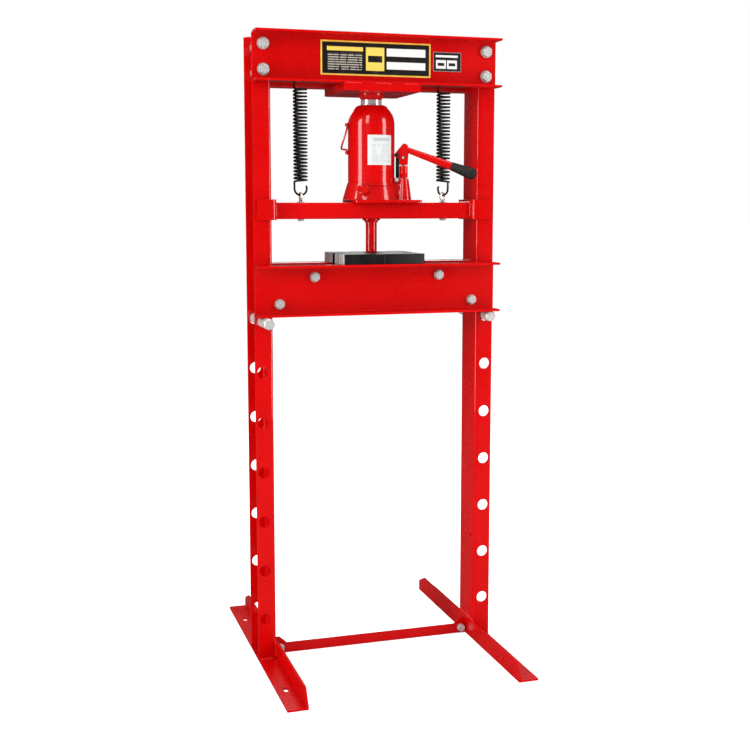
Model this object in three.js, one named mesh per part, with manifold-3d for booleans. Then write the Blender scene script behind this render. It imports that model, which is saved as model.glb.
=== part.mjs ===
// Hydraulic shop press, floor-standing H-frame, about 20 t.
// Millimetres. +X to the right, +Y to the back, +Z up.
// Origin on the floor, midway between the uprights and midway between their front and rear flanges.
import * as THREE from 'three';
import { mergeVertices } from 'three/addons/utils/BufferGeometryUtils.js';
import Module from 'manifold-3d';

const wasm = await Module();
wasm.setup();
const { degToRad } = THREE.MathUtils;

// ---------------------------------------------------------------- shared dimensions
// Each channel section has a web, flanges of the given reach, and outer and inner bend radii.
const GAP = 0.1;              // clearance between touching pieces
const THROUGH = 400;          // half-length of a drill that passes right through a piece
const SIDES = [['left', -1], ['right', 1]];
const FACES = [['front', -1], ['rear', 1]];

const UPRIGHT = { inner: 255, outer: 298.5, half: 47, wall: 5, top: 1484 };
const PIN_X = 280;
const BEAM_HALF = { front: 298, rear: 288 };   // the rear beams end short of the front ones

// inner: distance of the web's inner face from the middle
const HEAD = {
  bottom: 1374, top: 1488, inner: 47.1, flange: 47.4, wall: 5, outerBend: 7, innerBend: 2,
};
const HEAD_FACE = HEAD.inner + HEAD.wall;
const BED = {
  bottom: 837.5, top: 956, inner: 47.6, flange: 49.4, wall: 5.5, outerBend: 8, innerBend: 3,
};
const BED_FACE = BED.inner + BED.wall;
// level, distance from the middle, height
const HEAD_BOLTS = [['upper', 273, 1460], ['lower', 273, 1402]];
const BED_BOLTS = [['upper', 155, 927], ['lower', 240, 864.5]];
const HEAD_HOLE_R = 7.5;
const BED_HOLE_R = 6.4;

const FOOT_WALL = 5;
const FOOT_HOLE_SIDES = 12;
const BAR = { halfX: 243.2, halfY: 36, bottom: 1062, top: 1101, wall: 4 };   // guide beam tube
const SPRING_X = 178.5;
const SPRING_Y = -15;

// ---------------------------------------------------------------- finishes
const RED = { main: 0xd20a0a, spreader: 0xb80c12, hanger: 0xa00808, barrel: 0xb80a0a, spacer: 0x9a0a0a };
const ROUGH = { spring: 0.35, plates: 0.45, link: 0.5, plug: 0.7, grip: 0.8 };
const FILM = { main: 0x16150f, small: 0x121212, jack: 0xe9ebe8 };

const standard = (settings) => new THREE.MeshStandardMaterial(settings);
const paint = (color = RED.main) => standard({ color, roughness: 0.28, metalness: 0.1 });
const zinc = () => standard({ color: 0xc9cccb, roughness: 0.32, metalness: 0.9 });
const black = (roughness) => standard({ color: 0x111112, roughness, metalness: 0.3 });
const steel = () => standard({ color: 0xb9bcc0, roughness: 0.2, metalness: 1.0 });
const film = (color) => standard({ color, roughness: 0.4, metalness: 0 });

// ---------------------------------------------------------------- solids
// Closed surface as a solid, faces pointing out.
function solid(surface) {
  surface.deleteAttribute('normal');
  surface.deleteAttribute('uv');
  const merged = mergeVertices(surface, 1e-4);
  const { position } = merged.attributes;
  const corner = (i) => new THREE.Vector3().fromBufferAttribute(position, i);
  const indices = merged.index.array;
  const triangles = [];
  let volume = 0;
  for (let i = 0; i < indices.length; i += 3) {
    const [a, b, c] = indices.slice(i, i + 3);
    if (a === b || b === c || a === c) continue;
    triangles.push([a, b, c]);
    volume += corner(a).dot(corner(b).cross(corner(c)));
  }
  if (volume < 0) triangles.forEach((triangle) => triangle.reverse());
  return new wasm.Manifold(new wasm.Mesh({
    numProp: 3,
    vertProperties: Float32Array.from(position.array),
    triVerts: Uint32Array.from(triangles.flat()),
  }));
}

function geometryOf(piece) {
  const mesh = piece.getMesh();
  const geometry = new THREE.BufferGeometry();
  const positions = Float32Array.from(mesh.vertProperties);
  geometry.setAttribute('position', new THREE.BufferAttribute(positions, 3));
  geometry.setIndex(Array.from(mesh.triVerts));
  geometry.computeVertexNormals();
  return geometry;
}

const join = (...pieces) => pieces.reduce((whole, piece) => whole.add(piece));
const cut = (body, ...tools) => tools.reduce((rest, tool) => rest.subtract(tool), body);

const shapeOf = (points) => new THREE.Shape(points.map(([x, y]) => new THREE.Vector2(x, y)));
const extrude = (points, depth) =>
  new THREE.ExtrudeGeometry(shapeOf(points), { depth, bevelEnabled: false });
const AXIS = {
  x: new THREE.Vector3(1, 0, 0),
  y: new THREE.Vector3(0, 1, 0),
  z: new THREE.Vector3(0, 0, 1),
  front: new THREE.Vector3(0, -1, 0),
};

// Outline in (x, y), drawn out along Z.
const prismZ = (points, z0, z1) => solid(extrude(points, z1 - z0).translate(0, 0, z0));
// Outline in (y, z), drawn out along X.
function prismX(points, x0, x1) {
  const basis = new THREE.Matrix4().makeBasis(AXIS.y, AXIS.z, AXIS.x);
  return solid(extrude(points, x1 - x0).applyMatrix4(basis).translate(x0, 0, 0));
}
// Outline in (x, z), drawn out along Y.
function prismY(points, y0, y1) {
  const basis = new THREE.Matrix4().makeBasis(AXIS.x, AXIS.z, AXIS.front);
  return solid(extrude(points, y1 - y0).applyMatrix4(basis).translate(0, y1, 0));
}
function box(x0, x1, y0, y1, z0, z1) {
  const block = new THREE.BoxGeometry(x1 - x0, y1 - y0, z1 - z0);
  return solid(block.translate((x0 + x1) / 2, (y0 + y1) / 2, (z0 + z1) / 2));
}

// Round rods along each axis; `end` is the radius at the far end when the rod tapers.
function rodX(y, z, radius, x0, x1, sides, end = radius) {
  const rod = new THREE.CylinderGeometry(end, radius, x1 - x0, sides).rotateZ(-Math.PI / 2);
  return solid(rod.translate((x0 + x1) / 2, y, z));
}
function rodY(x, z, radius, y0, y1, sides, end = radius) {
  const rod = new THREE.CylinderGeometry(end, radius, y1 - y0, sides);
  return solid(rod.translate(x, (y0 + y1) / 2, z));
}
function rodZ(x, y, radius, z0, z1, sides, end = radius) {
  const rod = new THREE.CylinderGeometry(end, radius, z1 - z0, sides).rotateX(Math.PI / 2);
  return solid(rod.translate(x, y, (z0 + z1) / 2));
}
const drillX = (y, z, radius, sides) => rodX(y, z, radius, -THROUGH, THROUGH, sides);
const drillY = (x, z, radius, sides) => rodY(x, z, radius, -THROUGH, THROUGH, sides);

const lathe = (profile, sides) =>
  new THREE.LatheGeometry(profile.map(([r, along]) => new THREE.Vector2(r, along)), sides);
// A piece turned about the Z axis from an (r, z) profile.
const turned = (profile, sides) => solid(lathe(profile, sides).rotateX(Math.PI / 2));

// Points of an arc; angles in degrees.
function arc(x, y, radius, from, to, steps) {
  return Array.from({ length: steps + 1 }, (_, i) => {
    const angle = degToRad(from + (to - from) * i / steps);
    return [x + radius * Math.cos(angle), y + radius * Math.sin(angle)];
  });
}

const BEND_STEPS = 3;
// Pressed channel: web on u = 0..wall, flanges reaching to u = flange, width centred on v = 0.
function channel({ width, flange, wall, outerBend = 6, innerBend = 1.5 }) {
  const half = width / 2;
  const bend = half - outerBend;
  const inset = wall + innerBend;
  return [
    [flange, -half],
    ...arc(outerBend, -bend, outerBend, 270, 180, BEND_STEPS),
    ...arc(outerBend, bend, outerBend, 180, 90, BEND_STEPS),
    [flange, half],
    [flange, half - wall],
    ...arc(inset, half - inset, innerBend, 90, 180, BEND_STEPS),
    ...arc(inset, -half + inset, innerBend, 180, 270, BEND_STEPS),
    [flange, -half + wall],
  ];
}
function rounded(x0, x1, y0, y1, radius) {
  return [
    ...arc(x1 - radius, y0 + radius, radius, -90, 0, BEND_STEPS),
    ...arc(x1 - radius, y1 - radius, radius, 0, 90, BEND_STEPS),
    ...arc(x0 + radius, y1 - radius, radius, 90, 180, BEND_STEPS),
    ...arc(x0 + radius, y0 + radius, radius, 180, 270, BEND_STEPS),
  ];
}

// Extrusion path through exactly the listed points.
class BentPath extends THREE.Curve {
  constructor(points) {
    super();
    this.points = points;
  }
  getTangentAt(t, target = new THREE.Vector3()) {
    const last = this.points.length - 1;
    const i = Math.round(t * last);
    const ahead = this.points[Math.min(i + 1, last)];
    return target.copy(ahead).sub(this.points[Math.max(i - 1, 0)]).normalize();
  }
  getSpacedPoints() {
    return this.points;
  }
}
function wire(points, radius, sides) {
  const section = shapeOf(arc(0, 0, radius, 0, 360 - 360 / sides, sides - 1));
  return solid(new THREE.ExtrudeGeometry(section, {
    steps: points.length - 1,
    extrudePath: new BentPath(points),
    bevelEnabled: false,
  }));
}

// Hexagon bolt with washer and nut along Y: the washer bears at y = 0, the grip runs to y = grip.
function bolt({ grip, flats, head, shank, washer, nut, tail, rearWasher = false }) {
  const hexRadius = flats / Math.sqrt(3);
  const thick = 2.4;          // washer
  const overlap = 0.01;
  const shift = rearWasher ? thick : 0;
  const parts = [
    rodY(0, 0, washer, -thick, -GAP, 18),
    rodY(0, 0, hexRadius, -thick - head, -thick + overlap, 6),
    rodY(0, 0, shank, -thick - 1, grip + nut + tail, 12),
    rodY(0, 0, hexRadius, grip + GAP + shift, grip + nut + shift, 6),
  ];
  if (rearWasher) parts.push(rodY(0, 0, washer, grip + GAP, grip + thick + overlap, 18));
  return join(...parts);
}

// ---------------------------------------------------------------- scene graph
const press = new THREE.Group();
const frame = new THREE.Group();
const carriage = new THREE.Group();
const bed = new THREE.Group();
press.add(frame, carriage, bed);

function put(parent, name, piece, material, place = [0, 0, 0]) {
  const mesh = new THREE.Mesh(geometryOf(piece), material);
  mesh.name = name;
  mesh.position.set(...place);
  parent.add(mesh);
  return mesh;
}

// ---------------------------------------------------------------- uprights
const PIN_HOLE = { lowest: 104, pitch: 120, count: 7, radius: 14 };
const WEB_HOLE = { y: 25, z: 262, radius: 5 };

function upright(sign) {
  const outline = channel({
    width: 2 * UPRIGHT.half, flange: UPRIGHT.outer - UPRIGHT.inner, wall: UPRIGHT.wall,
  }).map(([u, v]) => [sign * (UPRIGHT.inner + u), v]);
  const holes = [];
  for (let k = 0; k < PIN_HOLE.count; k++) {
    const z = PIN_HOLE.lowest + k * PIN_HOLE.pitch;
    holes.push(drillY(sign * PIN_X, z, PIN_HOLE.radius, 20));
  }
  for (const [, x, z] of HEAD_BOLTS) holes.push(drillY(sign * x, z, HEAD_HOLE_R, 14));
  for (const y of [-WEB_HOLE.y, WEB_HOLE.y]) {
    holes.push(drillX(y, WEB_HOLE.z, WEB_HOLE.radius, 12));
  }
  return cut(prismZ(outline, FOOT_WALL, UPRIGHT.top), ...holes);
}
for (const [side, sign] of SIDES) put(frame, `upright_${side}`, upright(sign), paint());

// ---------------------------------------------------------------- head
// Channel along X with its flanges pointing away from the middle, bolt holes through the web.
function channelBeam(section, face, sign, bolts, holeRadius) {
  const middle = (section.bottom + section.top) / 2;
  const outline = channel({ ...section, width: section.top - section.bottom })
    .map(([u, v]) => [sign * (section.inner + u), middle + v]);
  const holes = bolts.flatMap(([, x, z]) => [-x, x].map((at) => drillY(at, z, holeRadius, 14)));
  return cut(prismX(outline, -BEAM_HALF[face], BEAM_HALF[face]), ...holes);
}
for (const [face, sign] of FACES) {
  const beam = channelBeam(HEAD, face, sign, HEAD_BOLTS, HEAD_HOLE_R);
  put(frame, `head_beam_${face}`, beam, paint());
}

// Thrust plate under both head beams, its rear corners cut off; the jack pushes up on it.
const THRUST = { halfX: 92.5, halfY: 93.5, bottom: 1356.8, corner: 8 };
function thrustPlate() {
  const { halfX, halfY, bottom, corner } = THRUST;
  const outline = [
    [-halfX, -halfY], [halfX, -halfY], [halfX, halfY - corner],
    [halfX - corner, halfY], [-halfX + corner, halfY], [-halfX, halfY - corner],
  ];
  return prismZ(outline, bottom, HEAD.bottom - GAP);
}
put(frame, 'thrust_plate', thrustPlate(), paint());

const headBolt = bolt({
  grip: HEAD_FACE - UPRIGHT.half + UPRIGHT.wall,
  flats: 21, head: 8.5, shank: 7, washer: 14, nut: 11, tail: 3,
});
for (const [side, sign] of SIDES) {
  for (const [level, x, z] of HEAD_BOLTS) {
    for (const [face, out] of FACES) {
      const place = [sign * x, out * HEAD_FACE, z];
      const mesh = put(frame, `head_bolt_${face}_${side}_${level}`, headBolt, zinc(), place);
      if (face === 'rear') mesh.rotation.z = Math.PI;
    }
  }
}

// ---------------------------------------------------------------- feet and spreader
const FOOT = { half: 350, inner: 250, outer: 298, height: 45 };
// Outline in (y, z) of the foot's upright leg, with sloped ends.
const FOOT_LEG = [
  [-FOOT.half, 0], [FOOT.half, 0], [FOOT.half, 27],
  [FOOT.half - 39, FOOT.height], [-FOOT.half + 24, FOOT.height], [-FOOT.half, 8],
];
// Outline in (x, z) of the right foot's spreader tab; the left one mirrors it.
const TAB = [[222, 5.5], [250.5, 5.5], [250.5, 41], [238, 41], [222, 27]];
const TAB_Y = { front: -6.8, rear: -2.8 };
const SLOT = { x: 276, y: 240, half: 6, radius: 5.5 };
const LEG_HOLE = { y: 257, z: 20, radius: 5 };
const SPREADER_HOLE = { x: 237, z: 15, radius: 5.5 };
const SPREADER_FRONT = -10;
// Outline in (y, z) of the spreader's angle section.
const SPREADER = [[SPREADER_FRONT, 1], [15, 1], [15, 4], [-7, 4], [-7, 26], [SPREADER_FRONT, 26]];

const spreaderDrill = (sign) =>
  drillY(sign * SPREADER_HOLE.x, SPREADER_HOLE.z, SPREADER_HOLE.radius, FOOT_HOLE_SIDES);
const outward = (sign, near, far) => (sign > 0 ? [near, far] : [-far, -near]);

function footSlot(x, y) {
  return prismZ([
    ...arc(x, y + SLOT.half, SLOT.radius, 0, 180, 5),
    ...arc(x, y - SLOT.half, SLOT.radius, 180, 360, 5),
  ], -5, 10);
}
function foot(sign) {
  const { half, inner, outer } = FOOT;
  const body = join(
    prismX(FOOT_LEG, ...outward(sign, inner, UPRIGHT.inner - GAP)),
    box(...outward(sign, inner, outer), -half, half, 0, FOOT_WALL - GAP),
    prismY(TAB.map(([x, z]) => [sign * x, z]), TAB_Y.front, TAB_Y.rear),
  );
  const holes = [-1, 1].flatMap((end) => [
    footSlot(sign * SLOT.x, end * SLOT.y),
    drillX(end * LEG_HOLE.y, LEG_HOLE.z, LEG_HOLE.radius, FOOT_HOLE_SIDES),
  ]);
  return cut(body, ...holes, spreaderDrill(sign));
}
for (const [side, sign] of SIDES) put(frame, `foot_${side}`, foot(sign), paint());

const spreader = cut(prismX(SPREADER, -249.5, 249.5), spreaderDrill(-1), spreaderDrill(1));
put(frame, 'spreader_bar', spreader, paint(RED.spreader));

const spreaderBolt = bolt({
  grip: TAB_Y.rear - SPREADER_FRONT,
  flats: 16, head: 6.5, shank: 5, washer: 10, nut: 8, tail: 3,
});
for (const [side, sign] of SIDES) {
  const place = [sign * SPREADER_HOLE.x, SPREADER_FRONT, SPREADER_HOLE.z];
  put(frame, `spreader_bolt_${side}`, spreaderBolt, zinc(), place);
}

// ---------------------------------------------------------------- head labels
const headLabel = (x0, x1, z0, z1) => box(x0, x1, -HEAD_FACE - 0.6, -HEAD_FACE - 0.05, z0, z1);
put(frame, 'label_main', headLabel(-138, 131, 1394.4, 1473.2), film(FILM.main));
put(frame, 'label_small', headLabel(138, 208.5, 1410.5, 1455.5), film(FILM.small));

// ---------------------------------------------------------------- return springs and eye bolts
const COIL = { radius: 14.9, wire: 2.4, turns: 27, stepsPerTurn: 8, bottom: 1150, top: 1367 };
const HANGER = { radius: 5, z: 1398 };
const EYE = { radius: 9, wire: 3, z: 1115, shank: 4 };
// The right spring's lower hook and eye bolt are turned about the vertical.
const TWIST = { left: 0, right: degToRad(123) };

function returnSpring(x0, twist) {
  const points = [];
  const add = (x, y, z) => points.push(new THREE.Vector3(x, y, z));
  const addHookPoint = (radius, degrees, z, turn) => {
    const angle = degToRad(degrees);
    const out = radius * Math.cos(angle);
    add(x0 + out * Math.cos(turn), out * Math.sin(turn), z + radius * Math.sin(angle));
  };

  // lower hook: round the bottom in a vertical plane, up to the start of the coils
  const hookZ = EYE.z + EYE.radius - EYE.wire - 0.4 - COIL.wire + COIL.radius;
  for (let degrees = 28; degrees >= -168; degrees -= 28) {
    addHookPoint(COIL.radius, degrees, hookZ, twist);
  }
  add(x0 - COIL.radius * Math.cos(twist), -COIL.radius * Math.sin(twist), hookZ + 5);

  // coils: the twist is taken up along them, so they end on the left
  const steps = COIL.turns * COIL.stepsPerTurn;
  for (let i = 0; i <= steps; i++) {
    const angle = Math.PI + twist + (i / steps) * (COIL.turns * 2 * Math.PI - twist);
    const z = COIL.bottom + (COIL.top - COIL.bottom) * i / steps;
    add(x0 + COIL.radius * Math.cos(angle), COIL.radius * Math.sin(angle), z);
  }

  // upper hook: over the top of the hanger, in the XZ plane
  const hookRadius = HANGER.radius + COIL.wire + 0.5;
  add(x0 - COIL.radius * 0.9, 0, COIL.top + 8);
  add(x0 - hookRadius * 1.05, 0, COIL.top + 18);
  for (let degrees = 180; degrees >= -30; degrees -= 35) {
    addHookPoint(hookRadius, degrees, HANGER.z, 0);
  }
  return wire(points, COIL.wire, 5).translate([0, SPRING_Y, 0]);
}

// Eye bolt down through the guide beam, with a washer above the beam and a nut below.
function eyeBolt(x, twist) {
  const ring = new THREE.TorusGeometry(EYE.radius, EYE.wire, 8, 18);
  return join(
    solid(ring.rotateY(Math.PI / 2).rotateZ(twist).translate(x, SPRING_Y, EYE.z)),
    rodZ(x, SPRING_Y, EYE.shank, BAR.bottom - 5, EYE.z - EYE.radius, 10),
    rodZ(x, SPRING_Y, 8.5, BAR.top + 0.15, BAR.top + 2.2, 16),
    rodZ(x, SPRING_Y, 7.8, BAR.bottom - 4.4, BAR.bottom - 0.2, 6),
  );
}
for (const [side, sign] of SIDES) {
  const x = sign * SPRING_X;
  const reach = HEAD.inner - 0.3;
  const hanger = rodY(x, HANGER.z, HANGER.radius, -reach, reach, 14);
  put(frame, `spring_hanger_${side}`, hanger, paint(RED.hanger));
  put(frame, `return_spring_${side}`, returnSpring(x, TWIST[side]), black(ROUGH.spring));
  put(carriage, `spring_eye_bolt_${side}`, eyeBolt(x, TWIST[side]), zinc());
}

// ---------------------------------------------------------------- moving guide beam
const GUIDE = { bottom: 1060, top: 1108, inner: 243.5, outer: 290, halfY: 53 };
const SEAT = { left: -56, right: 110, halfY: 62, top: 1107, corner: 6 };
const PRESS_RAM = { radius: 13.5, flange: 21.5, tip: 981, chamfer: 2 };

function guideBeam() {
  const { halfX, halfY, bottom, top, wall } = BAR;
  const outer = rounded(-halfY, halfY, bottom, top, 4);
  const inner = rounded(-halfY + wall, halfY - wall, bottom + wall, top - wall, 1.5);
  const holes = [-SPRING_X, SPRING_X]
    .map((x) => rodZ(x, SPRING_Y, 4.8, bottom - 5, top + 5, 12));
  return cut(prismX(outer, -halfX, halfX), prismX(inner, -THROUGH, THROUGH), ...holes);
}
put(carriage, 'guide_beam', guideBeam(), paint());

function guideBracket(sign) {
  const outline = channel({
    width: 2 * GUIDE.halfY,
    flange: GUIDE.outer - GUIDE.inner,
    wall: 5.5,
    outerBend: 10,
    innerBend: 4.5,
  }).map(([u, v]) => [sign * (GUIDE.inner + u), v]);
  return prismZ(outline, GUIDE.bottom, GUIDE.top);
}
for (const [side, sign] of SIDES) {
  put(carriage, `guide_bracket_${side}`, guideBracket(sign), paint());
}

const seatOutline = rounded(SEAT.left, SEAT.right, -SEAT.halfY, SEAT.halfY, SEAT.corner);
put(carriage, 'jack_seat_plate', prismZ(seatOutline, BAR.top + GAP, SEAT.top), paint());

function pressRam() {
  const { radius, flange, tip, chamfer } = PRESS_RAM;
  return turned([
    [0, tip], [radius - chamfer, tip], [radius, tip + chamfer], [radius, BAR.bottom - 7],
    [flange, BAR.bottom - 3], [flange, BAR.bottom - GAP], [0, BAR.bottom - GAP],
  ], 24);
}
put(carriage, 'press_ram', pressRam(), paint());

// ---------------------------------------------------------------- bottle jack
const JACK = { bottom: 1107.2, radius: 56, shellBottom: 1147.3, shoulder: 1285, neck: 1330 };
const BASE_TOP = JACK.shellBottom - 0.2;
const RAM = { radius: 25, foot: 26, bottom: 1136, top: 1343 };
const SADDLE = { radius: 31.5, top: 1356.5 };
const VALVE = { x: -36, y: -57, z: 1131 };
const FILLER_Z = 1268;
const LUG = { x: -59.8, bottoms: [1281, 1215.5], height: 7 };

// The pump stands to the right of the jack and a little to the front.
const PUMP_TURN = -25;        // degrees about the jack's axis
const PUMP_OUT = 78.3;        // pump from the jack's axis
const LINK_OUT = 63.5;        // link and lever pin from the jack's axis
const LINK_Z = 1154.5;
const PIVOT_Z = 1213;
const HANDLE_DROP = degToRad(20.4);
const ARM = (PUMP_OUT - LINK_OUT) / Math.cos(HANDLE_DROP);      // lever pin to plunger pin
const PLUNGER_Z = PIVOT_Z - ARM * Math.sin(HANDLE_DROP);

const jack = new THREE.Group();
const pump = new THREE.Group();          // pump side of the jack, turned about the jack's axis
carriage.add(jack);
jack.add(pump);
pump.rotation.z = degToRad(PUMP_TURN);

const pumpRod = (radius, z0, z1, sides, end) => rodZ(PUMP_OUT, 0, radius, z0, z1, sides, end);
const linkRod = (z, radius, y0, y1, sides = 12) => rodY(LINK_OUT, z, radius, y0, y1, sides);
const rivetHead = (z) => linkRod(z, 4.6, -11.5, -9.3);

function jackBase() {
  const earX = [LINK_OUT - 6, LINK_OUT + 6];
  const earZ = [1140, LINK_Z + 5];
  const pumpSide = join(
    pumpRod(19, JACK.bottom, 1158, 20, 12),                 // pump boss
    box(30, PUMP_OUT, -13, 13, JACK.bottom, 1144),
    box(...earX, -9, -4.6, ...earZ),                        // link ears
    box(...earX, 4.6, 9, ...earZ),
  );
  const pumpSideCuts = [
    pumpRod(8.3, 1131, 1170, 14),                           // pump barrel thread
    box(LINK_OUT - 8, LINK_OUT + 5, -4.6, 4.6, 1147.5, 1170),      // slot for the link
    linkRod(LINK_Z, 3.2, -12, 12, 10),
  ];
  const body = join(
    rodZ(0, 0, 70, JACK.bottom, BASE_TOP, 32, 58).scale([1, 0.9, 1]),
    rodZ(0, 0, 58, 1141, BASE_TOP, 32),
    pumpSide.rotate([0, 0, PUMP_TURN]),
    rodY(VALVE.x, VALVE.z, 9.5, -58, -25, 14),              // valve boss
  );
  return cut(
    body,
    rodZ(0, 0, 35, JACK.bottom + 20, JACK.shellBottom + 10, 28),   // seat of the cylinder
    rodZ(0, 0, 49, JACK.bottom + 32, JACK.shellBottom + 10, 28),   // oil space
    rodY(VALVE.x, VALVE.z, 7.2, -80, -38, 12),                     // release valve
    ...pumpSideCuts.map((tool) => tool.rotate([0, 0, PUMP_TURN])),
  );
}
put(jack, 'jack_base', jackBase(), paint());

// (r, z), up the outside and down the inside.
const SHELL_PROFILE = [
  [JACK.radius, JACK.shellBottom], [JACK.radius, JACK.shoulder], [55.3, 1293], [53.5, 1302],
  [50.5, 1310], [46, 1318], [41, 1324.5], [37, 1328.5], [34, JACK.neck],
  [29.3, JACK.neck], [29.3, 1318], [40, 1315], [47, 1306], [51, 1296], [52, 1286],
  [52, JACK.shellBottom], [JACK.radius, JACK.shellBottom],
];
// Shell with two lugs for the wire handle on the left and the oil filler boss behind.
function reservoir() {
  const lugs = LUG.bottoms.map((z) => cut(
    rodZ(LUG.x, 0, 5.6, z, z + LUG.height, 12),
    rodZ(LUG.x, 0, 3.1, z - 1, z + LUG.height + 1, 10),
  ));
  const shell = join(turned(SHELL_PROFILE, 36), ...lugs, rodY(0, FILLER_Z, 9, 50, 60, 12));
  return cut(shell, rodY(0, FILLER_Z, 5.3, 40, 70, 12));
}
put(jack, 'jack_reservoir', reservoir(), paint());

const plug = join(rodY(0, FILLER_Z, 5.0, 48, 60.3, 12), rodY(0, FILLER_Z, 8, 60.2, 64, 12));
put(jack, 'oil_filler_plug', plug, black(ROUGH.plug));

// Turned profiles in (r, z).
const GLAND = { inner: 25.3, outer: 28.9, bottom: JACK.neck - 15.6, top: JACK.neck + 1.5 };
const CYLINDER_PROFILE = [
  [26.2, 1134.5], [26.2, JACK.neck - 16], [34.5, JACK.neck - 16],
  [34.5, 1128], [0, 1128], [0, 1134.5], [26.2, 1134.5],
];
const GLAND_PROFILE = [
  [GLAND.inner, GLAND.bottom], [GLAND.inner, GLAND.top], [GLAND.outer, GLAND.top],
  [GLAND.outer, GLAND.bottom], [GLAND.inner, GLAND.bottom],
];
const RAM_PROFILE = [
  [0, RAM.bottom], [RAM.foot, RAM.bottom], [RAM.foot, RAM.bottom + 12],
  [RAM.radius, RAM.bottom + 12], [RAM.radius, RAM.top], [16.4, RAM.top], [16.4, 1180], [0, 1180],
];
const SCREW_PROFILE = [
  [0, 1183], [15.9, 1183], [15.9, RAM.top + 0.3], [24, RAM.top + 0.3],
  [SADDLE.radius, 1354], [SADDLE.radius, SADDLE.top], [0, SADDLE.top],
];
put(jack, 'jack_cylinder', turned(CYLINDER_PROFILE, 28), steel());
put(jack, 'jack_gland_nut', turned(GLAND_PROFILE, 28), steel());
// ram, held up against the head, with a bore for the extension screw
put(frame, 'jack_ram', turned(RAM_PROFILE, 28), steel());
put(frame, 'extension_screw', turned(SCREW_PROFILE, 28), paint());

// Release valve screw at the front of the base, with a crossbar.
const valve = join(
  rodY(0, 0, 6.8, 0, 18, 12),
  rodY(0, 0, 9.5, -9, -1.8, 12),
  rodY(0, 0, 5, -2, 1, 12),
  box(-13, 13, -6.5, -3.5, -2.5, 2.5),
);
put(jack, 'release_valve', valve, paint(), [VALVE.x, VALVE.y, VALVE.z]);

// Wire handle through the two lugs: x from the lugs' axis, z.
const CARRY_HANDLE = [
  [0, 1289], [0, 1283], [0, 1279], [-2.2, 1270], [-8, 1252], [-13.6, 1235], [-14.8, 1230],
  [-13.8, 1227.2], [-10.5, 1226.2], [-3.4, 1225.9], [-0.8, 1225], [0, 1222.8], [0, 1214],
];
const handlePoints = CARRY_HANDLE.map(([x, z]) => new THREE.Vector3(LUG.x + x, 0, z));
put(jack, 'carry_handle', wire(handlePoints, 2.4, 6), paint());

// Curved label on the front of the jack; angles in degrees.
const JACK_LABEL = { from: -115.5, to: -51.3, steps: 9, bottom: 1189, top: 1259 };
function jackLabel() {
  const { from, to, steps, bottom, top } = JACK_LABEL;
  return prismZ([
    ...arc(0, 0, JACK.radius + 0.25, from, to, steps),
    ...arc(0, 0, JACK.radius + 0.7, to, from, steps),
  ], bottom, top);
}
put(jack, 'jack_label', jackLabel(), film(FILM.jack));

// ---------------------------------------------------------------- pump
// Drawn in the plane y = 0 of the turned group.
const barrel = cut(
  join(pumpRod(8, 1131.5, 1164, 14), pumpRod(11, 1160.3, 1172, 6), pumpRod(10, 1171, 1188, 16)),
  pumpRod(6.06, 1134, 1195, 16),
);
put(pump, 'pump_barrel', barrel, paint(RED.barrel));

// plunger with its cross pin pressed in
const plunger = join(
  pumpRod(6, 1150, 1178, 16),
  box(PUMP_OUT - 4.7, PUMP_OUT + 4.7, -3.6, 3.6, 1177, PLUNGER_Z),
  rodY(PUMP_OUT, PLUNGER_Z, 5.6, -3.6, 3.6, 14),
  rodY(PUMP_OUT, PLUNGER_Z, 2.8, -10.4, 10.4, 12),
);
put(pump, 'pump_plunger', plunger, steel());

// link with its upper rivet pressed in
const linkBar = join(
  box(LINK_OUT - 4, LINK_OUT + 4, -4.2, 4.2, LINK_Z, PIVOT_Z),
  linkRod(LINK_Z, 4.6, -4.2, 4.2, 14),
  linkRod(PIVOT_Z, 4.6, -4.2, 4.2, 14),
);
const link = join(
  cut(linkBar, linkRod(LINK_Z, 3, -6, 6)),
  linkRod(PIVOT_Z, 2.9, -11, 11),
  rivetHead(PIVOT_Z),
);
put(pump, 'pump_link', link, black(ROUGH.link));
put(pump, 'link_pin', join(linkRod(LINK_Z, 2.9, -10, 11), rivetHead(LINK_Z)), zinc());

// ---------------------------------------------------------------- lever and handle
const SOCKET = { up: 20.5, start: 6, end: 130 };      // up: its axis above the lever pin
// Cheek as it hangs at rest: x, z from the lever pin.
const CHEEK = [
  [5.5, -22.5], [24, -22.5], [26, 10], [25, 22], [21, 27], [15, 27.5], [11.6, 24],
  [4, 15.2], [-2, 8], [-6, 3], [-6, -3], [-4.2, -5.5], [3, -7], [5.5, -9],
];
// Handle grip: radius, x along the lever.
const GRIP = [
  [6.45, 130.3], [9.4, 130.3], [10.4, 134], [11.2, 146], [12.6, 162], [13.5, 175],
  [13.3, 184], [11.6, 189.5], [7.5, 193], [0, 194.2], [0, 187.3], [6.45, 187.3], [6.45, 130.3],
];

const lever = new THREE.Group();
lever.position.set(LINK_OUT, 0, PIVOT_Z);
lever.rotation.y = HANDLE_DROP;
pump.add(lever);

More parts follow.
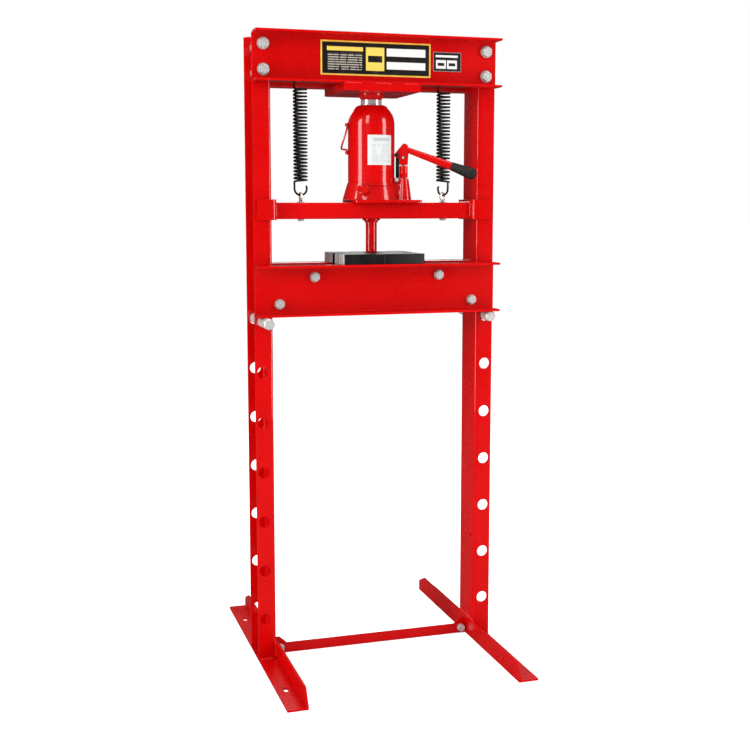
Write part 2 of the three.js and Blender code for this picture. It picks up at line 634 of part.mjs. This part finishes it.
// Two cheeks over the link and the plunger, with the handle socket across their tops.
function pumpLever() {
  const cos = Math.cos(HANDLE_DROP);
  const sin = Math.sin(HANDLE_DROP);
  const cheek = CHEEK.map(([x, z]) => [x * cos - z * sin, x * sin + z * cos]);   // lever's own axes
  const body = join(
    prismY(cheek, -8.4, -4.7),
    prismY(cheek, 4.7, 8.4),
    rodX(0, SOCKET.up, 6.8, SOCKET.start, SOCKET.end, 20, 10),
    box(9, 30, -6, 6, 13, SOCKET.up),
  );
  // slotted hole for the plunger's cross pin
  const slot = [
    ...arc(ARM + 0.1, 0, 3.4, -90, 90, 5),
    ...arc(ARM - 1.3, 0, 3.4, 90, 270, 5),
  ];
  return cut(
    body,
    rodY(0, 0, 3.3, -12, 12, 12),
    rodX(0, SOCKET.up, 6.45, 46, 150, 18),
    prismY(slot, -12, 12),
  );
}
put(lever, 'pump_lever', pumpLever(), paint());
put(lever, 'pump_handle', rodX(0, SOCKET.up, 6.2, 50, 187, 18), paint());
const grip = solid(lathe(GRIP, 20).rotateZ(-Math.PI / 2).translate(0, 0, SOCKET.up));
put(lever, 'handle_grip', grip, black(ROUGH.grip));

// ---------------------------------------------------------------- bed
for (const [face, sign] of FACES) {
  put(bed, `bed_beam_${face}`, channelBeam(BED, face, sign, BED_BOLTS, BED_HOLE_R), paint());
}
const bedBolt = bolt({
  grip: 2 * BED_FACE,
  flats: 18, head: 7.5, shank: 5.9, washer: 12, nut: 9, tail: 4, rearWasher: true,
});
// Tube between the bed beams, round an upper bolt.
function bedSpacer(x, z) {
  const reach = BED.inner - 0.2;
  return cut(rodY(x, z, 10, -reach, reach, 16), drillY(x, z, BED_HOLE_R, 14));
}
for (const [level, x, z] of BED_BOLTS) {
  for (const [side, sign] of SIDES) {
    put(bed, `bed_bolt_${side}_${level}`, bedBolt, zinc(), [sign * x, -BED_FACE, z]);
    if (level === 'upper') put(bed, `bed_spacer_${side}`, bedSpacer(sign * x, z), paint(RED.spacer));
  }
}

// Pins under the bed beams; the left one is pushed in less.
const PIN = { radius: 12.5, length: 200, chamfer: 2, front: { left: -125, right: -85 } };
function bedPin(y0) {
  const { radius, length, chamfer } = PIN;
  const y1 = y0 + length;
  return join(
    rodY(0, 0, radius, y0 + chamfer, y1 - chamfer, 22),
    rodY(0, 0, radius - chamfer, y0, y0 + chamfer, 22, radius),
    rodY(0, 0, radius, y1 - chamfer, y1, 22, radius - chamfer),
  );
}
for (const [side, sign] of SIDES) {
  const place = [sign * PIN_X, 0, BED.bottom - PIN.radius - 0.2];
  put(bed, `bed_pin_${side}`, bedPin(PIN.front[side]), zinc(), place);
}

// Two arbor plates side by side on the bed; their inner notches form the opening for the ram.
const PLATE = {
  seamX: 6, inner: 0.6, outer: 101, halfY: 90, bottom: 956.2, top: 980, corner: 6, notch: 26.5,
};
const plates = new THREE.Group();
plates.position.x = PLATE.seamX;
bed.add(plates);

function arborPlate(sign) {
  const { inner, outer, halfY, corner, notch } = PLATE;
  const outline = [
    [inner, -halfY], [outer - corner, -halfY],
    ...arc(outer - corner, -halfY + corner, corner, -90, 0, 3).slice(1),
    [outer, -12], [outer - 28, -12], [outer - 28, 8], [outer, 8],     // square notch
    [outer, halfY - corner],
    ...arc(outer - corner, halfY - corner, corner, 0, 90, 3).slice(1),
    [62, halfY], [48, halfY - 16], [34, halfY],                       // V notch at the back
    [inner, halfY], [inner, notch],
    ...arc(inner, 0, notch, 90, -90, 8).slice(1, -1),
    [inner, -notch],
  ];
  return prismZ(outline.map(([x, y]) => [sign * x, y]), PLATE.bottom, PLATE.top);
}
for (const [side, sign] of SIDES) {
  put(plates, `arbor_plate_${side}`, arborPlate(sign), black(ROUGH.plates));
}

export default press;
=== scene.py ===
# Shop press: a red frame with a bottle jack under a sprung carriage, standing on z = 0.
# Its width lies along X with the left at -X, and its front faces -Y.
# Sizes are in metres in materials and on the stage, in millimetres for labels, springs and welds.
import bpy
import math
from functools import cached_property
from math import cos, pi, radians, sin
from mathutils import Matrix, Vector

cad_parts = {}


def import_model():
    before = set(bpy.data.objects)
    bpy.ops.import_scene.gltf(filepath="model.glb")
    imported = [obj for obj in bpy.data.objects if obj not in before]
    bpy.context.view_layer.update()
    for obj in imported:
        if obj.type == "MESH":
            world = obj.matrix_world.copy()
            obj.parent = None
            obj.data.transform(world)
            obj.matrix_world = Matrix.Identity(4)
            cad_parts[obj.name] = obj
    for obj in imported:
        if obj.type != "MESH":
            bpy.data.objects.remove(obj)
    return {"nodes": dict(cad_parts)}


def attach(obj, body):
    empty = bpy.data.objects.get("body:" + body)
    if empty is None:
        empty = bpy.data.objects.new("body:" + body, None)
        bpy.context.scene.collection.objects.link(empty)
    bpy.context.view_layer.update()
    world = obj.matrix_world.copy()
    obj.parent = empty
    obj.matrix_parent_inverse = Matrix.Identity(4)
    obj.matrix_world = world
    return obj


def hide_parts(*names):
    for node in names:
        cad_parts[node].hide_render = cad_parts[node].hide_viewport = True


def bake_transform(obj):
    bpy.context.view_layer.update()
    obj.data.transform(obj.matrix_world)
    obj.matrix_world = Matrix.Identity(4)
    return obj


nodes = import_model()["nodes"]
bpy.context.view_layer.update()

SIDES = (("left", -1), ("right", 1))  # name, sign of x
ENDS = (("front", -1), ("rear", 1))  # name, sign of y


# ---------------------------------------------------------------- material builder
def shade(color, factor):
    return tuple(channel * factor for channel in color)


class Material:
    """A node material put together from short calls; every call returns an output socket."""

    SHADER_INPUTS = {
        "color": "Base Color", "rough": "Roughness", "metal": "Metallic", "coat": "Coat Weight",
        "coat_rough": "Coat Roughness", "specular": "Specular IOR Level", "normal": "Normal",
        "glow": "Emission Color", "glow_strength": "Emission Strength",
    }

    def __init__(self, name):
        self.data = bpy.data.materials.new(name)
        self.data.use_nodes = True
        self.tree = self.data.node_tree
        self.tree.nodes.clear()
        output = self.node("OutputMaterial")
        self.shader = self.node("BsdfPrincipled")
        self.put(output.inputs[0], self.shader.outputs[0])

    @cached_property
    def position(self):
        return self.node("TexCoord").outputs["Object"]

    def put(self, socket, value):
        """Link a socket, or set a constant."""
        if isinstance(value, bpy.types.NodeSocket):
            self.tree.links.new(value, socket)
            return
        if socket.type == "RGBA" and len(value) == 3:
            value = (*value, 1)
        socket.default_value = value

    def node(self, kind, inputs=None, **settings):
        node = self.tree.nodes.new("ShaderNode" + kind)
        for key, value in settings.items():
            setattr(node, key, value)
        for key, value in (inputs or {}).items():
            self.put(node.inputs[key], value)
        return node

    def math(self, operation, *values):
        return self.node("Math", dict(enumerate(values)), operation=operation).outputs[0]

    def add(self, a, b):
        return self.math("ADD", a, b)

    def subtract(self, a, b):
        return self.math("SUBTRACT", a, b)

    def multiply(self, a, b):
        return self.math("MULTIPLY", a, b)

    def axes(self, vector):
        return self.node("SeparateXYZ", {0: vector}).outputs

    def noise(self, scale, detail=3, rough=0.5, stretch=None):
        vector = self.position
        if stretch:
            vector = self.node("Mapping", {0: vector, "Scale": stretch}).outputs[0]
        inputs = {"Vector": vector, "Scale": scale, "Detail": detail, "Roughness": rough}
        return self.node("TexNoise", inputs).outputs["Fac"]

    def ramp(self, value, span, to=(0.0, 1.0)):
        """Map the span linearly to another range, clamped."""
        return self.node("MapRange", dict(enumerate((value, *span, *to)))).outputs[0]

    def mix(self, mask, a, b):
        return self.node("Mix", {0: mask, 6: a, 7: b}, data_type="RGBA").outputs[2]

    def rounded_normal(self, radius):
        return self.node("Bevel", {"Radius": radius}, samples=6).outputs[0]

    def edges(self, radius):
        """1 on convex and concave edges, 0 on flats."""
        normal = self.node("NewGeometry").outputs["Normal"]
        vectors = {0: self.rounded_normal(radius), 1: normal}
        dot = self.node("VectorMath", vectors, operation="DOT_PRODUCT").outputs["Value"]
        return self.ramp(self.subtract(1.0, dot), span=(0.03, 0.16))

    def bump(self, height, strength, distance, rounding=None):
        inputs = {"Strength": strength, "Distance": distance, "Height": height}
        if rounding:
            inputs["Normal"] = self.rounded_normal(rounding)
        self.set(normal=self.node("Bump", inputs).outputs[0])

    def set(self, **values):
        for key, value in values.items():
            self.put(self.shader.inputs[self.SHADER_INPUTS[key]], value)


# ---------------------------------------------------------------- paints, metals, rubber
def red_paint(name, base=(0.53, 0.0004, 0.0006), rough=0.26, peel=0.03):
    """Glossy coat with a painted highlight on its edges, chipped in places; peel is the bump
    strength.
    """
    mat = Material(name)
    cloud = mat.noise(scale=7)
    dust = mat.noise(scale=160, rough=0.6)
    edge = mat.edges(radius=0.0012)
    chip_spots = mat.ramp(mat.noise(scale=240, detail=4, rough=0.65), span=(0.72, 0.78))
    color = mat.mix(mat.ramp(cloud, span=(0.35, 0.70)), shade(base, 0.90), base)
    # painted highlight: every edge is lightened toward a brighter red, where light catches it
    color = mat.mix(mat.multiply(edge, 0.28), color, (0.80, 0.012, 0.010))
    color = mat.mix(mat.multiply(edge, chip_spots), color, (0.16, 0.11, 0.10))
    cloud_rough = mat.ramp(cloud, span=(0.3, 0.7), to=(rough - 0.05, rough + 0.07))
    dust_rough = mat.ramp(dust, span=(0.4, 0.8), to=(0.0, 0.09))
    mat.set(color=color, rough=mat.add(cloud_rough, dust_rough),
            coat=0.8, coat_rough=0.05, specular=0.08)
    fine = mat.multiply(mat.noise(scale=110, detail=2), 0.3)
    coarse = mat.multiply(mat.noise(scale=38, detail=2), 0.7)
    mat.bump(mat.add(fine, coarse), strength=peel, distance=0.0006, rounding=0.0009)
    return mat.data


def metal(name, base, rough, metallic, stretch=(1, 1, 1), scale=300, tint=None, bump=0.12,
          corner_shade=0.0):
    """Bright metal with stretched grain, stains toward the tint, a painted highlight on its edges
    and optional painted shade in its corners.
    """
    mat = Material(name)
    grain = mat.noise(scale=scale, rough=0.6, stretch=stretch)
    stain = mat.noise(scale=45, detail=4, rough=0.6)
    color = mat.mix(mat.ramp(stain, span=(0.35, 0.75)), base, tint or shade(base, 0.72))
    # painted highlight: edges lightened toward pale grey
    color = mat.mix(mat.multiply(mat.edges(radius=0.0008), 0.25), color, (0.92, 0.92, 0.92))
    if corner_shade:
        # painted shade: darker in the corners between heads, washers and plates, where shade
        # falls
        occlusion = mat.node("AmbientOcclusion", {"Distance": 0.006}, samples=8).outputs["AO"]
        corners = mat.ramp(occlusion, span=(0.85, 0.45))
        color = mat.mix(mat.multiply(corners, corner_shade), color, (0.05, 0.045, 0.04))
    grain_rough = mat.ramp(grain, span=(0.3, 0.7), to=(rough - 0.06, rough + 0.08))
    stain_rough = mat.ramp(stain, span=(0.4, 0.8), to=(0, 0.08))
    mat.set(color=color, rough=mat.add(grain_rough, stain_rough), metal=metallic)
    mat.bump(grain, strength=bump, distance=0.0003, rounding=0.0006)
    return mat.data


def black_oxide(name, base, rough):
    """Near-black metal, worn to grey in patches along its edges."""
    mat = Material(name)
    wear = mat.ramp(mat.noise(scale=300), span=(0.42, 0.62))
    edge = mat.multiply(mat.edges(radius=0.0008), wear)
    color = mat.mix(mat.ramp(mat.noise(scale=60), span=(0.35, 0.7)), base, shade(base, 2.4))
    color = mat.mix(mat.multiply(edge, 0.5), color, (0.30, 0.30, 0.31))
    roughness = mat.ramp(mat.noise(scale=90), span=(0.3, 0.7), to=(rough - 0.08, rough + 0.1))
    mat.set(color=color, rough=roughness, metal=0.55)
    mat.bump(mat.noise(scale=700, detail=2), strength=0.12, distance=0.0003, rounding=0.0006)
    return mat.data


def rubber(name):
    mat = Material(name)
    cloud = mat.ramp(mat.noise(scale=80), span=(0.35, 0.75))
    color = mat.mix(cloud, (0.006, 0.006, 0.006), (0.016, 0.016, 0.015))
    roughness = mat.ramp(mat.noise(scale=120), span=(0.3, 0.7), to=(0.55, 0.75))
    mat.set(color=color, rough=roughness, specular=0.35)
    mat.bump(mat.noise(scale=900, rough=0.6), strength=0.35, distance=0.0004, rounding=0.0006)
    return mat.data


def plate_black(name):
    """Black plate; flame-cut ends show bare grey vertical drag lines, painted only on the ends
    facing left, the lit side, so that grey is partly painted light.
    """
    mat = Material(name)
    normal = mat.node("NewGeometry").outputs["Normal"]
    normal_z = mat.math("ABSOLUTE", mat.axes(normal)[2])
    # painted light: the bare grey cut steel goes only on the cut ends facing left, the side the
    # light falls on
    faces_left = mat.ramp(mat.axes(normal)[0], span=(-0.5, -0.8))
    lit_cut_end = mat.multiply(mat.ramp(normal_z, span=(0.35, 0.15)), faces_left)
    drag = mat.noise(scale=330, rough=0.6, stretch=(1, 1, 0.05))
    cloud = mat.ramp(mat.noise(scale=35, detail=4), span=(0.35, 0.7))
    face = mat.mix(cloud, (0.003, 0.003, 0.003), (0.010, 0.010, 0.010))
    cut = mat.mix(mat.ramp(drag, span=(0.35, 0.66)), (0.10, 0.10, 0.10), (0.52, 0.52, 0.52))
    color = mat.mix(lit_cut_end, face, cut)
    # painted highlight: edges lightened slightly toward grey
    color = mat.mix(mat.multiply(mat.edges(radius=0.001), 0.15), color, (0.20, 0.20, 0.20))
    mat.set(color=color, rough=mat.ramp(lit_cut_end, span=(0, 1), to=(0.42, 0.5)), specular=0.3)
    drag_height = mat.multiply(drag, mat.add(lit_cut_end, 0.05))
    grain_height = mat.multiply(mat.noise(scale=500, detail=2), 0.15)
    mat.bump(mat.add(drag_height, grain_height), strength=0.6, distance=0.0007,
             rounding=0.0008)
    return mat.data


# ---------------------------------------------------------------- labels
# A box on a label is (x0, x1, z0, z1) in millimetres.
LABEL_BLACK = (0.006, 0.006, 0.006)


class Label(Material):
    """A printed material, laid out in the XZ plane."""

    EDGE_SOFTNESS = 0.00018

    @cached_property
    def xyz(self):
        return self.axes(self.position)

    def inset(self, axis, low, high):
        """Distance inward from the nearer of two limits on an axis."""
        center, half = (low + high) / 2000, (high - low) / 2000
        offset = self.math("ABSOLUTE", self.subtract(self.xyz[axis], center))
        return self.subtract(half, offset)

    def rect(self, x0, x1, z0, z1):
        """1 inside a box."""
        nearest = self.math("MINIMUM", self.inset(0, x0, x1), self.inset(2, z0, z1))
        return self.ramp(nearest, span=(-self.EDGE_SOFTNESS, self.EDGE_SOFTNESS))

    def patches(self, color, table):
        """Print plain boxes over a color, from rows of (box, box color)."""
        for box, box_color in table:
            color = self.mix(self.rect(*box), color, box_color)
        return color

    def text_lines(self, box, pitch, share, gap_scale, gap_span):
        """Broken horizontal lines in a box; share is the printed part of the pitch."""
        inside = self.rect(*box)
        height = self.subtract(self.xyz[2], box[2] / 1000)
        phase = self.math("FRACT", self.math("DIVIDE", height, pitch / 1000))
        stripes = self.ramp(phase, span=(share, share + 0.08), to=(1, 0))
        gaps = self.noise(scale=gap_scale, detail=2, stretch=(1, 1, 0.2))
        return self.multiply(self.multiply(inside, stripes), self.ramp(gaps, span=gap_span))

    def film_finish(self, color):
        """Slightly scuffed glossy film."""
        scuff = self.noise(scale=70, detail=4, rough=0.6)
        scuff_mask = self.ramp(scuff, span=(0.62, 0.85), to=(0, 0.12))
        self.set(color=self.mix(scuff_mask, color, (0.5, 0.5, 0.5)),
                 rough=self.ramp(scuff, span=(0.3, 0.7), to=(0.26, 0.38)),
                 coat=0.3, coat_rough=0.15)
        self.bump(self.noise(scale=260, detail=2), strength=0.05, distance=0.0003)


def label_main(name):
    mat = Label(name)
    yellow, orange = (0.84, 0.62, 0.10), (0.80, 0.42, 0.03)
    grey, white = (0.45, 0.43, 0.36), (0.82, 0.82, 0.79)
    cloud = mat.ramp(mat.noise(scale=30, detail=2), span=(0.3, 0.7))
    color = mat.patches(mat.mix(cloud, orange, yellow), (
        ((-134.5, 127.5, 1398, 1469.6), LABEL_BLACK),
        ((-133, 126, 1399.4, 1468.2), LABEL_BLACK),
        ((-123, -36, 1450, 1459.5), yellow),  # header strip
    ))
    text = mat.text_lines((-121, -38, 1407, 1445), pitch=5.4, share=0.42,
                          gap_scale=190, gap_span=(0.40, 0.44))
    color = mat.patches(mat.mix(text, color, grey), (
        ((-29, 16, 1406.5, 1460), yellow),  # panel with one plain bar
        ((-24, 11, 1426, 1441), LABEL_BLACK),
        ((22, 118, 1441, 1459), white),  # two plain bars
        ((22, 118, 1411, 1428), white),
    ))
    mat.film_finish(color)
    return mat.data


def label_small(name):
    mat = Label(name)
    grey, white = (0.22, 0.22, 0.22), (0.80, 0.80, 0.80)
    table = [
        ((139.4, 207.1, 1411.9, 1454.1), LABEL_BLACK),
        ((144, 200, 1443.5, 1448.5), white),
    ]
    for x in (145, 173):  # two white panels, each with a black bar
        table.append(((x, x + 25, 1417, 1437), white))
        table.append(((x + 4, x + 21, 1423.5, 1430.5), LABEL_BLACK))
    mat.film_finish(mat.patches(grey, table))
    return mat.data


def jack_label(name):
    mat = Label(name)
    cloud = mat.ramp(mat.noise(scale=25), span=(0.3, 0.75))
    color = mat.mix(cloud, (0.60, 0.62, 0.61), (0.52, 0.54, 0.54))
    text = mat.text_lines((-16, 38, 1195, 1240), pitch=4.1, share=0.34,
                          gap_scale=170, gap_span=(0.42, 0.47))
    color = mat.mix(mat.multiply(text, 0.55), color, (0.25, 0.27, 0.27))
    heading = mat.rect(-12, 30, 1245, 1252)
    color = mat.mix(mat.multiply(heading, 0.6), color, (0.22, 0.30, 0.26))
    mat.set(color=color, rough=0.5)
    mat.bump(mat.noise(scale=400, detail=2), strength=0.06, distance=0.0003)
    return mat.data


# ---------------------------------------------------------------- materials
RED = red_paint("red_powder_coat")
RED_DARK = red_paint("red_dark", base=(0.47, 0.001, 0.002), rough=0.30)
RED_CAST = red_paint("red_cast", base=(0.50, 0.002, 0.002), rough=0.30, peel=0.35)
# zinc gets painted shade in its corners
ZINC = metal("zinc_plate", base=(0.74, 0.74, 0.73), rough=0.26, metallic=0.5,
             tint=(0.66, 0.655, 0.63), bump=0.03, corner_shade=0.7)
STEEL = metal("machined_steel", base=(0.70, 0.71, 0.72), rough=0.26, metallic=0.55,
              stretch=(1, 1, 14))
CHROME = metal("hard_chrome", base=(0.90, 0.91, 0.92), rough=0.10, metallic=0.6,
               stretch=(1, 1, 6), scale=260, bump=0.03)
BLACK = black_oxide("black_oxide", base=(0.005, 0.005, 0.0054), rough=0.42)
SPRING = black_oxide("black_spring", base=(0.004, 0.004, 0.004), rough=0.34)
GRIP = rubber("grip_rubber")
PLATE = plate_black("plate_black")
WELD = red_paint("red_weld", base=(0.62, 0.004, 0.003), rough=0.30, peel=0.25)

LABELS = {"label_main": label_main, "label_small": label_small, "jack_label": jack_label}
PIECE_MATERIALS = {
    "handle_grip": GRIP, "oil_filler_plug": GRIP, "link_pin": ZINC, "jack_ram": CHROME,
    "jack_cylinder": STEEL, "jack_gland_nut": STEEL, "pump_plunger": STEEL,
    "pump_link": BLACK, "spreader_bar": RED_DARK, "jack_base": RED_CAST,
    "extension_screw": RED_CAST, "release_valve": RED_CAST,
}


def material_for(name):
    if name in LABELS:
        return LABELS[name](name)
    if name in PIECE_MATERIALS:
        return PIECE_MATERIALS[name]
    if "bolt" in name or name.startswith("bed_pin"):
        return ZINC
    if name.startswith("arbor_plate"):
        return PLATE
    return RED


# ---------------------------------------------------------------- CAD pieces
def smooth_group(merge_distance, sharp_angle):
    """Geometry nodes: merge vertices, shade smooth, keep steeper edges sharp."""
    group = bpy.data.node_groups.new("smooth_by_angle", "GeometryNodeTree")
    for direction in ("INPUT", "OUTPUT"):
        group.interface.new_socket("Geometry", in_out=direction,
                                   socket_type="NodeSocketGeometry")
    new, link = group.nodes.new, group.links.new
    start, end = new("NodeGroupInput"), new("NodeGroupOutput")
    merge = new("GeometryNodeMergeByDistance")
    merge.inputs["Distance"].default_value = merge_distance
    faces = new("GeometryNodeSetShadeSmooth")
    edges = new("GeometryNodeSetShadeSmooth")
    edges.domain = "EDGE"
    edges.inputs["Shade Smooth"].default_value = False
    angle = new("GeometryNodeInputMeshEdgeAngle")
    steeper = new("FunctionNodeCompare")
    steeper.data_type = "FLOAT"
    steeper.operation = "GREATER_THAN"
    steeper.inputs[1].default_value = sharp_angle
    link(start.outputs[0], merge.inputs[0])
    link(merge.outputs[0], faces.inputs[0])
    link(faces.outputs[0], edges.inputs[0])
    link(angle.outputs[0], steeper.inputs[0])
    link(steeper.outputs[0], edges.inputs["Selection"])
    link(edges.outputs[0], end.inputs[0])
    return group


smoothing = smooth_group(merge_distance=2e-6, sharp_angle=radians(38))
for name, piece in nodes.items():
    mesh = piece.data
    if "custom_normal" in mesh.attributes:
        mesh.attributes.remove(mesh.attributes["custom_normal"])
    mesh.materials.clear()
    mesh.materials.append(material_for(name))
    piece.modifiers.new("smooth", "NODES").node_group = smoothing


# ---------------------------------------------------------------- tubes
def add_object(name, data):
    obj = bpy.data.objects.new(name, data)
    bpy.context.scene.collection.objects.link(obj)
    return obj


def tube(name, points, radii, sides, material):
    """Capped tube through points in millimetres, with one radius per point."""
    path = [Vector(point) / 1000 for point in points]
    last = len(path) - 1
    verts, faces = [], []
    up = None
    for i, (center, radius) in enumerate(zip(path, radii)):
        along = (path[min(i + 1, last)] - path[max(i - 1, 0)]).normalized()
        if up is None:
            up = Vector((0, 0, 1)) if abs(along.z) < 0.9 else Vector((1, 0, 0))
        up = (up - along * up.dot(along)).normalized()
        across = along.cross(up)
        for k in range(sides):
            angle = 2 * pi * k / sides
            verts.append(center + (up * cos(angle) + across * sin(angle)) * (radius / 1000))
    for i in range(last):
        for k in range(sides):
            a, b = i * sides + k, i * sides + (k + 1) % sides
            faces.append((a, a + sides, b + sides, b))
    faces.append(tuple(range(sides)))
    faces.append(tuple(reversed(range(last * sides, (last + 1) * sides))))
    mesh = bpy.data.meshes.new(name)
    mesh.from_pydata([tuple(vert) for vert in verts], [], faces)
    mesh.validate()
    mesh.update()
    mesh.polygons.foreach_set("use_smooth", [True] * len(mesh.polygons))
    mesh.materials.append(material)
    obj = add_object(name, mesh)
    return obj


# ---------------------------------------------------------------- return springs
SPRING_X, SPRING_Y = 178.5, -15.0
WIRE = 2.4  # wire radius
COIL = 14.9  # radius to the wire's center
COILS, COIL_STEPS = 27, 28
COIL_BOTTOM, COIL_TOP = 1150.0, 1367.0
LOWER_HOOK_SEAT = 1120.6  # inside of the lower hook at its lowest point
UPPER_HOOK = 5.5 + WIRE
UPPER_HOOK_Z = 1398
RIGHT_TWIST = radians(123)  # turn of the right spring's lower hook about z


def return_spring(side, sign):
    x, y = SPRING_X * sign, SPRING_Y
    twist = RIGHT_TWIST if sign > 0 else 0.0
    hook_x, hook_y = COIL * cos(twist), COIL * sin(twist)
    hook_z = LOWER_HOOK_SEAT - WIRE + COIL
    points = []
    for i in range(33):
        angle = radians(28 - 196 * i / 32)
        points.append((x + hook_x * cos(angle), y + hook_y * cos(angle),
                       hook_z + COIL * sin(angle)))
    points.append((x - hook_x, y - hook_y, hook_z + 5))
    steps = COILS * COIL_STEPS
    for i in range(steps + 1):
        angle = pi + twist + i / steps * (COILS * 2 * pi - twist)
        points.append((x + COIL * cos(angle), y + COIL * sin(angle),
                       COIL_BOTTOM + (COIL_TOP - COIL_BOTTOM) * i / steps))
    # lead from the coil into the upper hook
    points.append((x - COIL * 0.9, y, COIL_TOP + 8))
    points.append((x - UPPER_HOOK * 1.05, y, COIL_TOP + 18))
    for i in range(25):
        angle = radians(180 - 210 * i / 24)
        points.append((x + UPPER_HOOK * cos(angle), y, UPPER_HOOK_Z + UPPER_HOOK * sin(angle)))
    obj = tube(f"spring_{side}", points, [WIRE] * len(points), 10, SPRING)
    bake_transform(obj)
    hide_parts(f"return_spring_{side}")


# ---------------------------------------------------------------- welds
BEAD_STEP = 0.0011  # metres between rings


def bead(name, start, end, body, radius, seed):
    """Straight weld whose radius ripples like overlapping puddles and tapers at both ends."""
    start, end = Vector(start), Vector(end)
    steps = max(8, int((end / 1000 - start / 1000).length / BEAD_STEP))
    points = [start.lerp(end, i / steps) for i in range(steps + 1)]
    radii = []
    for i in range(steps + 1):
        puddle = 0.13 * abs(sin(i * 0.72 + seed))
        drift = 0.07 * sin(i * 0.19 + seed * 2)
        taper = min(1, 0.45 + 0.18 * min(i, steps - i))
        radii.append(radius * (0.80 + puddle + drift) * taper)
    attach(tube(name, points, radii, 10, WELD), body)


def guide_welds(side, sign):
    """Guide beam to bracket."""
    x = sign * 242.8
    for tag, end in ENDS:
        bead(f"weld_guide_{side}_{tag}", (x, end * 36, 1064), (x, end * 36, 1100),
             "carriage", radius=3.0, seed=1 + sign)
    for tag, z, seed in (("top", 1101, 3), ("under", 1062, 4)):
        bead(f"weld_guide_{side}_{tag}", (x, -34, z), (x, 34, z),
             "carriage", radius=2.6, seed=seed + sign)


def foot_welds(side, sign):
    """Upright to foot."""
    inner_x, rise_x = sign * 255.4, sign * 256
    bead(f"weld_foot_{side}_inner", (inner_x, -45, 45), (inner_x, 45, 45),
         "frame", radius=2.8, seed=5 + sign)
    for tag, end in ENDS:
        y = end * 47.5
        bead(f"weld_foot_{side}_{tag}", (sign * 262, y, 5.4), (sign * 294, y, 5.4),
             "frame", radius=2.8, seed=7 + sign)
        bead(f"weld_foot_{side}_{tag}_rise", (rise_x, y, 6), (rise_x, y, 44),
             "frame", radius=2.6, seed=9 + sign)


def middle_welds(tag, end):
    """Three short beads on the frame and one long bead on the carriage."""
    y, z = end * 93.4, 1373.6
    for k, (x0, x1) in enumerate(((-90, -50), (-20, 20), (50, 90))):
        bead(f"weld_thrust_{tag}_{k}", (x0, y, z), (x1, y, z), "frame", radius=2.2, seed=k)
    y, z = end * 36.6, 1101.2
    bead(f"weld_seat_{tag}", (-52, y, z), (106, y, z), "carriage", radius=2.2, seed=2 + end)


def ram_weld(ring_radius=14.6, z=1054.8, steps=96):
    """Collar around the ram under the guide beam."""
    angles = [2 * pi * i / steps for i in range(steps + 1)]
    points = [(ring_radius * cos(angle), ring_radius * sin(angle), z) for angle in angles]
    radii = [2.1 * (0.85 + 0.15 * abs(sin(i * 0.8))) for i in range(steps + 1)]
    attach(tube("weld_ram", points, radii, 8, WELD), "carriage")


for side, sign in SIDES:
    return_spring(side, sign)
    guide_welds(side, sign)
    foot_welds(side, sign)
for tag, end in ENDS:
    middle_welds(tag, end)
ram_weld()


# ---------------------------------------------------------------- stage
def floor(half=50):
    """Flat floor, wide enough to look the same from every side."""
    mesh = bpy.data.meshes.new("floor")
    corners = [(-half, -half, 0), (half, -half, 0), (half, half, 0), (-half, half, 0)]
    mesh.from_pydata(corners, [], [(0, 1, 2, 3)])
    mat = Material("floor_pale")
    ray = mat.node("LightPath").outputs
    # pale to the camera and as bounce light, dark in glossy reflections
    color = mat.mix(ray["Is Glossy Ray"], (0.90, 0.90, 0.90), (0.05, 0.05, 0.05))
    mat.set(color=color, rough=0.6, specular=0.0, glow=(1, 1, 1),
            glow_strength=mat.multiply(ray["Is Camera Ray"], 0.56))
    mesh.materials.append(mat.data)
    add_object("floor", mesh)


def area_light(name, location, target, size, power):
    light = bpy.data.lights.new(name, "AREA")
    light.shape = "RECTANGLE"
    light.size, light.size_y = size
    light.energy = power
    obj = add_object(name, light)
    obj.location = location
    aim = Vector(target) - Vector(location)
    obj.rotation_euler = aim.to_track_quat("-Z", "Y").to_euler()


def studio_world(diffuse=0.54, glossy=0.03):
    """White backdrop, dimmer as light and weakest in reflections so paint keeps its colour."""
    world = bpy.data.worlds.new("studio")
    world.use_nodes = True
    tree = world.node_tree
    background = tree.nodes["Background"].inputs
    background[0].default_value = (1, 1, 1, 1)
    ray = tree.nodes.new("ShaderNodeLightPath").outputs
    power = tree.nodes.new("ShaderNodeMapRange")
    power.inputs[3].default_value = diffuse
    power.inputs[4].default_value = glossy
    seen = tree.nodes.new("ShaderNodeMath")
    seen.operation = "MAXIMUM"
    tree.links.new(ray["Is Glossy Ray"], power.inputs[0])
    tree.links.new(power.outputs[0], seen.inputs[0])
    tree.links.new(ray["Is Camera Ray"], seen.inputs[1])
    tree.links.new(seen.outputs[0], background[1])
    bpy.context.scene.world = world


def camera():
    data = bpy.data.cameras.new("camera")
    data.sensor_width = 36
    data.lens = 56.8
    data.shift_y = -0.04
    data.clip_end = 120
    obj = add_object("camera", data)
    obj.location = (-0.84397, -2.7522, 1.10044)
    obj.rotation_euler = (radians(90 - 6.86), 0, radians(-17.23))
    bpy.context.scene.camera = obj


floor()
# name, location, target, (width, height), watts
for light in (
    ("key", (-2.2, -3.0, 3.0), (0, 0, 0.9), (1.0, 2.2), 48),
    # two tall strips draw the vertical highlights down the jack, the ram and the handle
    ("strip_left", (-2.9, -0.85, 1.2), (0, 0, 1.1), (0.9, 2.8), 80),
    ("strip_right", (2.33, -1.9, 1.2), (0, 0, 1.1), (0.9, 2.8), 70),
    ("top", (0, -0.4, 3.8), (0, 0, 0.8), (2.4, 2.0), 45),
    ("back", (0.6, 3.0, 2.6), (0, 0, 0.8), (3.0, 1.6), 55),
):
    area_light(*light)
studio_world()
bpy.context.scene.view_settings.view_transform = "Standard"
camera()
